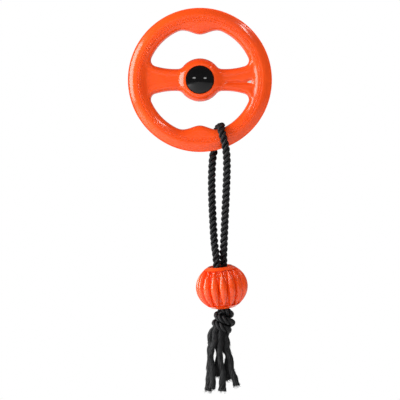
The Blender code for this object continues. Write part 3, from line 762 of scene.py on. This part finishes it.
def cross_directions(line):
    """At each point of a line, two directions across it that turn about it as little as they can."""
    ways = np.gradient(line, axis=0)
    ways /= np.linalg.norm(ways, axis=1)[:, None]
    side = np.cross(ways[0], (0.0, 1.0, 0.0) if abs(ways[0][1]) < 0.9 else (1.0, 0.0, 0.0))
    sides = []
    for way in ways:
        side = side - way * side.dot(way)
        side /= np.linalg.norm(side)
        sides.append(side)
    sides = np.array(sides)
    return sides, np.cross(ways, sides)


def laid_strands(line, strand_radius, lay_length):
    """Rings of points of the three strands of a rope, whose yarns run against the strands' own turn."""
    offset = strand_radius * 2 / math.sqrt(3)
    sides, ups = cross_directions(line)
    turn = 2 * math.pi * lengths_along(line) / lay_length
    count = YARNS * POINTS_PER_YARN
    steps = np.arange(count) / count
    radii = strand_radius * (1 - YARN_DEPTH * (1 - np.abs(np.cos(math.pi * YARNS * steps))))
    strands = []
    for strand in range(3):
        place = turn + 2 * math.pi * strand / 3
        spin = 2 * math.pi * steps[None, :] - place[:, None] * (1 + offset / strand_radius)
        out = np.cos(spin) * radii
        across = np.sin(spin) * radii * STRAND_FULLNESS
        outward = np.cos(place)[:, None] * sides + np.sin(place)[:, None] * ups
        onward = np.cos(place)[:, None] * ups - np.sin(place)[:, None] * sides
        rings = (line[:, None, :] + outward[:, None, :] * (offset + out)[:, :, None]
                 + onward[:, None, :] * across[:, :, None])
        strands.append(rings)
    return strands


def tubes(name, parts):
    """Closed mesh of tubes, each given as rings of points; its UV map has turns round and metres along."""
    corners, faces, maps = [], [], []
    start = 0
    for rings in parts:
        steps, count = rings.shape[:2]
        along = lengths_along(rings.mean(axis=1))
        corners.append(rings.reshape(-1, 3))
        first = start + np.arange(steps - 1)[:, None] * count + np.arange(count)[None, :]
        after = start + np.arange(steps - 1)[:, None] * count + (np.arange(count)[None, :] + 1) % count
        faces += np.stack((first, after, after + count, first + count), axis=-1).reshape(-1, 4).tolist()
        left = np.broadcast_to(np.arange(count)[None, :] / count, first.shape)
        right = left + 1 / count
        low = np.broadcast_to(along[:-1, None], first.shape)
        high = np.broadcast_to(along[1:, None], first.shape)
        maps.append(np.stack((left, low, right, low, right, high, left, high), axis=-1).ravel())
        for row, turned_over in ((0, True), (steps - 1, False)):
            cap = list(range(start + row * count, start + (row + 1) * count))
            faces.append(cap[::-1] if turned_over else cap)
            maps.append(np.tile((0.5, along[row]), count))
        start += steps * count
    mesh = bpy.data.meshes.new(name)
    mesh.from_pydata(np.vstack(corners), [], faces)
    mesh.uv_layers.new(name='laid').data.foreach_set('uv', np.concatenate(maps).astype(np.float32))
    mesh.shade_smooth()
    item = bpy.data.objects.new(name, mesh)
    bpy.context.collection.objects.link(item)
    return item


def bight_point(turn, place):
    """Middle of the rope on the rim: turn goes round the rim's section, place along the rim, in degrees."""
    angle = math.radians(place)
    out = math.cos(math.radians(turn))
    half_width = RIM_HALF_WIDTH if out > 0 else CREST - rim_inside(math.pi / 2 - angle)
    radius = CREST + (half_width + RIM_REST) * out
    depth = (RIM_HALF_DEPTH + RIM_REST) * math.sin(math.radians(turn))
    return RING_CENTRE + Vector((radius * math.sin(angle), -depth, -radius * math.cos(angle)))


def pressed_on_rim(line, strands):
    """Flattens the rope where it bends over the rim's inner edge, towards the rim and out to its sides."""
    out = line - np.array(RING_CENTRE)
    out[:, 1] = 0
    section = np.array(RING_CENTRE) + out / np.linalg.norm(out, axis=1)[:, None] * CREST
    away = line - section
    distance = np.linalg.norm(away, axis=1)
    away /= distance[:, None]
    ways = np.gradient(line, axis=0)
    ways /= np.linalg.norm(ways, axis=1)[:, None]
    sideways = np.cross(ways, away)
    along = lengths_along(line)
    top = along[np.argmin(np.where(distance < ON_RIM_WITHIN, np.abs(line[:, 1]), 1.0))]
    near = np.array([smooth_step(1 - abs(place - top) / FLATTENED_LENGTH) for place in along])[:, None]
    pressed = []
    for rings in strands:
        offset = rings - line[:, None, :]
        height = (offset * away[:, None, :]).sum(axis=2)
        width = (offset * sideways[:, None, :]).sum(axis=2)
        lower = (height + ROPE_DIAMETER / 2) * (1 - FLATTENED_HEIGHT) * near + PRESSED_IN * near
        wider = width * (FLATTENED_WIDTH - 1) * near
        pressed.append(rings - lower[:, :, None] * away[:, None, :]
                       + wider[:, :, None] * sideways[:, None, :])
    return pressed


front_leg = [RING_CENTRE + Vector(point) for point in FRONT_LEG]
over_rim = [bight_point(turn, place) for turn, place in BIGHT]
rear_leg = [RING_CENTRE + Vector(point) for point in REAR_LEG]
rope_line = smooth_line(front_leg + over_rim + rear_leg, ROPE_STEP)
rope = tubes('rope', pressed_on_rim(rope_line, laid_strands(rope_line, STRAND_RADIUS, LAY_LENGTH)))


def fibre_lines():
    """Fibres along a strand or yarn, from its own map: their height, and a mask of the paler ones."""
    effect, given, result = new_effect('fibre_lines',
                                       (('Fibres Round', 'Float'), ('Fibres Along', 'Float')),
                                       (('Height', 'Float'), ('Mask', 'Float')))
    laid = add_node(effect, 'UVMap', uv_map='laid')
    parts = add_node(effect, 'SeparateXYZ', ((0, laid.outputs['UV']),))
    turn = multiplied(effect, parts.outputs['X'], 2 * math.pi)
    along = multiplied(effect, parts.outputs['Y'], given['Fibres Along'])
    place = add_node(effect, 'CombineXYZ', (('Z', along),))
    for axis, operation in (('X', 'COSINE'), ('Y', 'SINE')):
        way = add_node(effect, 'Math', ((0, turn),), operation=operation).outputs['Value']
        effect.links.new(multiplied(effect, way, given['Fibres Round']), place.inputs[axis])
    fibres = noise(effect, place.outputs['Vector'], 1.0, detail=4.0, roughness=0.65)
    effect.links.new(fibres, result['Height'])
    effect.links.new(ranged(effect, fibres, *FIBRE_RISES), result['Mask'])
    return effect


fibre_lines_effect = fibre_lines()


def dyed_fibre(name, tone, deep_tone, pale_tone, fibres_round, fibres_along, depth):
    """Dyed polyester fibre, dull, with fine lines along it."""
    material, tree, cloud = clouded(name, tone, deep_tone, FIBRE_CLOUDS)
    fibres = put_effect(tree, fibre_lines_effect, (('Fibres Round', fibres_round),
                                                   ('Fibres Along', fibres_along)))
    colour = mixed(tree, fibres.outputs['Mask'], cloud, (*pale_tone, 1))
    rough = ranged(tree, fibres.outputs['Mask'], 0.0, 1.0, FIBRE_ROUGHNESS, PALE_FIBRE_ROUGHNESS)
    shader = connected(tree, colour, rough, fibres.outputs['Height'], depth)
    shader.inputs['Specular IOR Level'].default_value = FIBRE_SPECULAR
    return material


charcoal = dyed_fibre('charcoal_rope', (0.0042, 0.0044, 0.0051), (0.0024, 0.0026, 0.0030),
                      (0.016, 0.017, 0.019), fibres_round=9.0, fibres_along=380.0, depth=0.00035)
rope.data.materials.append(charcoal)
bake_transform(rope)
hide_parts('rope_bight', 'rope_leg_front', 'rope_leg_rear')


# Knot
# Both rope ends tied together in one overhand knot under the ball, drawn tight. The pair crosses the front
# twice, from the upper left to the lower right.

KNOT_AXIS = RING_CENTRE + Vector((0.0292, 0.0029, 0.0))
KNOT_STRAND_RADIUS = 0.00218
KNOT_LAY = 0.0190
MILLIMETRE = 0.001

# Each rope's turns through the knot: degrees round its axis, reach from it and height, in millimetres
FIRST_TURNS = ((227, 4.4, -281.0), (262, 5.2, -284.5), (300, 6.6, -288.0), (340, 8.4, -291.4),
               (15, 9.1, -293.4), (55, 9.2, -294.2), (95, 9.1, -293.8), (135, 8.5, -293.4),
               (168, 7.5, -293.8), (198, 7.2, -295.3), (234, 8.2, -297.3), (270, 9.0, -299.4),
               (308, 10.2, -301.6), (340, 10.9, -302.8), (370, 10.3, -303.8), (398, 8.2, -306.2),
               (418, 5.6, -310.0), (432, 4.0, -314.2), (440, 3.6, -318.0))
SECOND_TURNS = ((43, 4.8, -281.0), (46, 3.4, -285.5), (55, 1.6, -290.0), (80, 1.6, -295.5),
                (92, 4.6, -299.6), (112, 8.0, -302.0), (145, 9.8, -302.8), (180, 10.3, -303.7),
                (222, 9.6, -306.2), (270, 8.5, -309.8), (312, 7.3, -311.7), (350, 6.1, -312.4),
                (385, 4.6, -314.6), (400, 3.2, -318.5))
CORE_TURNS = ((190, 1.0, -285.5), (190, 2.0, -292.0), (185, 3.0, -300.0), (185, 3.5, -307.0),
              (180, 3.8, -314.0))
CORE_STRAND_RADIUS = 0.0027


def knot_line(turns):
    points = []
    for turn, reach, height in turns:
        way = unit(math.radians(turn))
        points.append(KNOT_AXIS + Vector((way.x * reach, way.y * reach, height)) * MILLIMETRE)
    return smooth_line(points, ROPE_STEP)


knot_parts = []
for turns in (FIRST_TURNS, SECOND_TURNS):
    knot_parts += laid_strands(knot_line(turns), KNOT_STRAND_RADIUS, KNOT_LAY)
knot_parts += laid_strands(knot_line(CORE_TURNS), CORE_STRAND_RADIUS, KNOT_LAY)
knot = tubes('knot_ropes', knot_parts)
knot.data.materials.append(charcoal)
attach(knot, 'rope')
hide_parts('knot')


# Tassel
# Below the knot the ropes are unlaid into their six strands, crimped from their lay, whose yarns spread at
# the cut ends.

INNER_YARNS = 6
OUTER_YARNS = 12
YARN_RADIUS = 0.00085
INNER_REACH = 0.0014
OUTER_REACH = 0.0029
BUNDLE_TWIST = 0.045
CRIMP = 0.0004
CRIMP_LENGTH = 0.019
YARN_SIDES = 6
YARN_STEP = 0.0013
FIBRE_RADIUS = 0.00016
FIBRE_POINTS = 5
FIBRE_SIDES = 3
FUZZ_FIBRES = 80
END_FIBRES = 60

# How yarns and fibres stray, mostly as ranges to draw from: angles in radians, lengths in metres, or shares
ANY_TURN = (0, 6.3)
YARN_SHIFTS = (-0.15, 0.15)
YARN_THICKNESSES = (0.85, 1.15)
WAVES = 3
WAVE_WEIGHTS = (0.2, 0.8)
WAVE_LENGTHS = (0.006, 0.025)
WAVE_HEIGHT = 0.00018
FLARE_SHARES = (0.2, 1.2)
FLARE_LENGTH = 0.009
YARN_SHORTFALLS = (0.0, 0.0025)
FIBRE_LENGTHS = (0.004, 0.008)
FIBRE_TURNS = (-1.0, 1.0)
FUZZ_FROM = 0.008
FUZZ_LIFTS = (0.0003, 0.0013)
END_STARTS = (0.0050, 0.0085)
END_LIFTS = (0.0004, 0.0026)
END_REACHES = (0.3, 1.0)
END_SPREAD = 0.5
PAST_END = (0.004, 0.012)

# Each strand's flare at its cut end, and its route from inside the knot to there, from the ring's centre
STRANDS = (
    (0.5, ((0.0235, 0.0050, -0.3050), (0.0190, 0.0048, -0.3095), (0.0150, 0.0052, -0.3150),
           (0.0131, 0.0056, -0.3216), (0.0136, 0.0058, -0.3298), (0.0130, 0.0058, -0.3345),
           (0.0128, 0.0058, -0.3500), (0.0118, 0.0056, -0.3618), (0.0115, 0.0052, -0.3738),
           (0.0097, 0.0046, -0.3897))),
    (0.4, ((0.0240, 0.0000, -0.3080), (0.0212, -0.0016, -0.3115), (0.0190, -0.0028, -0.3165),
           (0.0184, -0.0032, -0.3247), (0.0172, -0.0030, -0.3310), (0.0148, -0.0026, -0.3370),
           (0.0130, -0.0020, -0.3438), (0.0135, -0.0018, -0.3490), (0.0148, -0.0014, -0.3535),
           (0.0156, -0.0010, -0.3610), (0.0156, -0.0006, -0.3740), (0.0154, -0.0004, -0.3872))),
    (0.3, ((0.0250, 0.0070, -0.3080), (0.0232, 0.0076, -0.3160), (0.0222, 0.0080, -0.3250),
           (0.0224, 0.0084, -0.3340), (0.0239, 0.0084, -0.3420), (0.0240, 0.0082, -0.3470),
           (0.0226, 0.0080, -0.3520), (0.0216, 0.0078, -0.3580), (0.0214, 0.0076, -0.3650),
           (0.0214, 0.0075, -0.3724))),
    (0.9, ((0.0270, -0.0004, -0.3100), (0.0262, -0.0022, -0.3155), (0.0256, -0.0034, -0.3220),
           (0.0254, -0.0036, -0.3300), (0.0251, -0.0036, -0.3380), (0.0248, -0.0034, -0.3438),
           (0.0254, -0.0032, -0.3510), (0.0270, -0.0028, -0.3570), (0.0281, -0.0024, -0.3640),
           (0.0284, -0.0022, -0.3720), (0.0282, -0.0018, -0.3800), (0.0280, -0.0016, -0.3900))),
    (0.3, ((0.0310, 0.0066, -0.3100), (0.0308, 0.0070, -0.3180), (0.0310, 0.0072, -0.3260),
           (0.0318, 0.0074, -0.3330), (0.0325, 0.0076, -0.3390), (0.0349, 0.0076, -0.3440),
           (0.0353, 0.0074, -0.3490), (0.0346, 0.0073, -0.3535), (0.0337, 0.0072, -0.3585),
           (0.0337, 0.0071, -0.3650), (0.0346, 0.0070, -0.3710), (0.0357, 0.0068, -0.3766))),
    (0.5, ((0.0290, 0.0020, -0.3110), (0.0302, 0.0004, -0.3165), (0.0328, -0.0008, -0.3225),
           (0.0338, -0.0012, -0.3270), (0.0334, -0.0014, -0.3331), (0.0344, -0.0016, -0.3380),
           (0.0371, -0.0016, -0.3450), (0.0381, -0.0014, -0.3505), (0.0387, -0.0012, -0.3585),
           (0.0411, -0.0010, -0.3685), (0.0447, -0.0008, -0.3760), (0.0462, -0.0006, -0.3834))),
)


def thin_tube(line, radius, count):
    """Rings of points of one thin yarn or fibre."""
    sides, ups = cross_directions(line)
    turns = 2 * math.pi * np.arange(count) / count
    across = (np.cos(turns)[None, :, None] * sides[:, None, :]
              + np.sin(turns)[None, :, None] * ups[:, None, :])
    return line[:, None, :] + across * radius


def strand_yarns(line, flare, dice):
    """The yarns of one strand, twisted loosely round its crimped line, and spread towards the cut end."""
    along = lengths_along(line)
    sides, ups = cross_directions(line)
    left = along[-1] - along
    yarns = []
    for reach, count in ((0.0, 1), (INNER_REACH, INNER_YARNS), (OUTER_REACH, OUTER_YARNS)):
        for yarn in range(count):
            turn = 2 * math.pi * (yarn + dice.uniform(*YARN_SHIFTS)) / count
            turn = turn + 2 * math.pi * along / BUNDLE_TWIST
            waves = 0.0
            for _ in range(WAVES):
                weight = dice.uniform(*WAVE_WEIGHTS)
                phase = 2 * math.pi * along / dice.uniform(*WAVE_LENGTHS) + dice.uniform(*ANY_TURN)
                waves = waves + weight * np.sin(phase)
            spread = 1 + flare * np.exp(-left / FLARE_LENGTH) * dice.uniform(*FLARE_SHARES)
            distance = reach * spread + WAVE_HEIGHT * waves
            path = line + distance[:, None] * (np.cos(turn)[:, None] * sides + np.sin(turn)[:, None] * ups)
            short = dice.uniform(*YARN_SHORTFALLS)
            radius = YARN_RADIUS * dice.uniform(*YARN_THICKNESSES)
            yarns.append(thin_tube(path[left > short], radius, YARN_SIDES))
    return yarns


def loose_fibres(line, reach, count, at_end, dice):
    """Fine fibres that stand off a strand's surface, or spread past its cut end."""
    way = (line[-1] - line[-3]) / np.linalg.norm(line[-1] - line[-3])
    longer = np.vstack([line] + [line[-1] + way * past for past in PAST_END])
    along = lengths_along(longer)
    end = along[-3]
    sides, ups = cross_directions(longer)
    shares = np.linspace(0, 1, FIBRE_POINTS)
    fibres = []
    for _ in range(count):
        length = dice.uniform(*FIBRE_LENGTHS)
        start = end - dice.uniform(*END_STARTS) if at_end else dice.uniform(FUZZ_FROM, end - length)
        places = np.linspace(start, start + length, FIBRE_POINTS)
        turn = dice.uniform(*ANY_TURN) + dice.uniform(*FIBRE_TURNS) * shares
        lift = dice.uniform(*(END_LIFTS if at_end else FUZZ_LIFTS))
        out = reach * (dice.uniform(*END_REACHES) if at_end else 1.0) + lift * shares ** 2
        middle, side, up = [np.column_stack([np.interp(places, along, table[:, axis]) for axis in range(3)])
                            for table in (longer, sides, ups)]
        path = middle + out[:, None] * (np.cos(turn)[:, None] * side + np.sin(turn)[:, None] * up)
        fibres.append(thin_tube(path, FIBRE_RADIUS, FIBRE_SIDES))
    return fibres


# A lighter copy of the rope's charcoal for the tassel: painted light, standing in for the stronger light on
# the lower strands.
unlaid = dyed_fibre('unlaid_yarn_painted_lighter', (0.0075, 0.0077, 0.0084), (0.0045, 0.0047, 0.0053),
                    (0.030, 0.031, 0.033), fibres_round=4.0, fibres_along=300.0, depth=0.0003)
dice = np.random.default_rng(7)
for number, (flare, route) in enumerate(STRANDS, start=1):
    line = smooth_line([RING_CENTRE + Vector(point) for point in route], YARN_STEP)
    sides, ups = cross_directions(line)
    crimp = 2 * math.pi * lengths_along(line) / CRIMP_LENGTH + dice.uniform(*ANY_TURN)
    line = line + CRIMP * (np.cos(crimp)[:, None] * sides + np.sin(crimp)[:, None] * ups)
    parts = strand_yarns(line, flare, dice)
    parts += loose_fibres(line, OUTER_REACH + YARN_RADIUS, FUZZ_FIBRES, False, dice)
    parts += loose_fibres(line, OUTER_REACH * (1 + END_SPREAD * flare), END_FIBRES, True, dice)
    bundle = tubes(f'tassel_bundle_{number}', parts)
    bundle.data.materials.append(unlaid)
    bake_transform(bundle)
    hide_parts(f'tassel_strand_{number}')


# Ribbed ball
# The ring's orange rubber with a slightly duller gloss, moulded with sixteen lens-shaped lobes between deep
# grooves. It runs on both legs of the rope, which pass through its bore between two dished mouths.

BALL_CENTRE = RING_CENTRE + Vector((0.0274, 0.0, -0.2583))
BALL_TURN = Matrix.Rotation(math.radians(-5.7), 4, 'Y') @ Matrix.Rotation(math.radians(7.0), 4, 'X')
BALL_RADIUS = 0.0325
BALL_HALF_BODY = 0.0291
LOBES = 16
FIRST_LOBE = math.radians(2.6)
LOBE_DEPTH = 0.0058
COLLAR_RADIUS = 0.0207
LIP_RADIUS = 0.0155
MOUTH = ((0.0153, 0.0003), (0.0150, 0.00045), (0.0146, 0.0004), (0.0142, 0.0001), (0.0137, -0.0005),
         (0.0128, -0.0014), (0.0116, -0.0023), (0.0105, -0.0031), (0.0100, -0.0044))
LOBE_HALF_WIDTH = math.radians(10.3)
LOBE_TIP_HALF_WIDTH = math.radians(0.9)
UPPER_TAPER = 0.95
LOWER_TAPER = 0.65
VALLEY_HOLLOW = 0.0010
VALLEY_END = 0.45
LOBE_COLUMNS = 11
VALLEY_COLUMNS = 4
BALL_ROWS = 72


def ball_profile():
    """Half section's (radius, height, share of a lobe's width) from the upper lip to the lower one."""
    mouth_turn = math.acos(LIP_RADIUS / BALL_RADIUS)
    reach = BALL_HALF_BODY * math.sqrt(1 - (COLLAR_RADIUS / BALL_RADIUS) ** 2)
    rows = []
    for row in range(BALL_ROWS + 1):
        turn = between(mouth_turn, -mouth_turn, row / BALL_ROWS)
        height = BALL_HALF_BODY * math.sin(turn)
        share = max(0.0, 1 - (height / reach) ** 2)
        rows.append((BALL_RADIUS * math.cos(turn), height, share))
    return rows


def ball_columns():
    """Columns down each lobe and the valley beside it, closed through the bore."""
    pitch = 2 * math.pi / LOBES
    places = [(math.sin(math.pi / 2 * step / LOBE_COLUMNS), 0.0)
              for step in range(-LOBE_COLUMNS, LOBE_COLUMNS + 1)]
    places += [(1.0, step / VALLEY_COLUMNS) for step in range(1, VALLEY_COLUMNS)]
    profile = ball_profile()
    lip = profile[0][1]
    columns = []
    for lobe in range(LOBES):
        for across, beyond in places:
            column = []
            for radius, height, share in profile:
                half = max(LOBE_HALF_WIDTH * share ** (UPPER_TAPER if height > 0 else LOWER_TAPER),
                           LOBE_TIP_HALF_WIDTH)
                turn = across * half + beyond * (pitch - 2 * half) + lobe * pitch - math.pi / 2 + FIRST_LOBE
                rise = math.sqrt(max(0.0, 1 - across ** 2))
                hollow = VALLEY_HOLLOW * math.sin(math.pi * beyond)
                out = radius - (LOBE_DEPTH * (1 - rise) + hollow) * quarter_round(share / VALLEY_END)
                column.append((out * math.cos(turn), out * math.sin(turn), height))
            turn = across * LOBE_TIP_HALF_WIDTH + beyond * (pitch - 2 * LOBE_TIP_HALF_WIDTH) + lobe * pitch
            turn += FIRST_LOBE - math.pi / 2
            inside = [(radius, -lip - drop) for radius, drop in MOUTH]
            inside += [(radius, lip + drop) for radius, drop in reversed(MOUTH)]
            column += [(radius * math.cos(turn), radius * math.sin(turn), height)
                       for radius, height in inside]
            columns.append(column + column[:1])
    return columns + columns[:1]


ball = laid_grid('ribbed_ball', ball_columns())
clean_normals(ball)
ball.data.transform(Matrix.Translation(BALL_CENTRE) @ BALL_TURN)
shade_smooth(ball, 60)
ball_rubber = moulded('ball_rubber', (0.90, 0.080, 0.006), (0.80, 0.060, 0.004), (0.93, 0.11, 0.02),
                      cloud_scale=22.0, grain_scale=1100.0, roughness=(0.32, 0.40), grain_depth=0.00001,
                      specular=0.08, coat_weight=0.90, coat_roughness=0.20)
give_finish(ball, ball_rubber)
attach(ball, 'ball')
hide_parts('ball')
